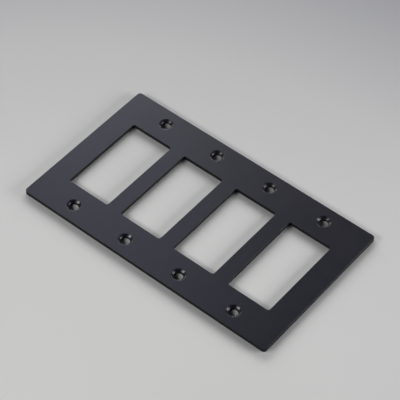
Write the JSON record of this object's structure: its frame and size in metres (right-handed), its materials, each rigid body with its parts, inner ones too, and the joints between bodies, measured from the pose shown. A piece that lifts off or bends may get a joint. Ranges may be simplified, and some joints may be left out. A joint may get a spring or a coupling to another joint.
{
  "type": "switch plate",
  "caption": "Flat matt black metal cover plate for a row of rocker switches, with square-edged windows and countersunk screw holes above and below each window.",
  "frame": {"origin": "centre of the back face, the face that lies against the wall; the plate lies on it at rest", "axes": "+X along the row of windows, +Y up the wall across the row, +Z out of the wall, through the front face"},
  "size_m": [0.2072, 0.1202, 0.003],
  "materials": {
    "black_coat": "matt black coat, satin where it is seen at a low angle"
  },
  "bodies": {
    "root": {"switch_plate": "black_coat"}
  },
  "joints": []
}
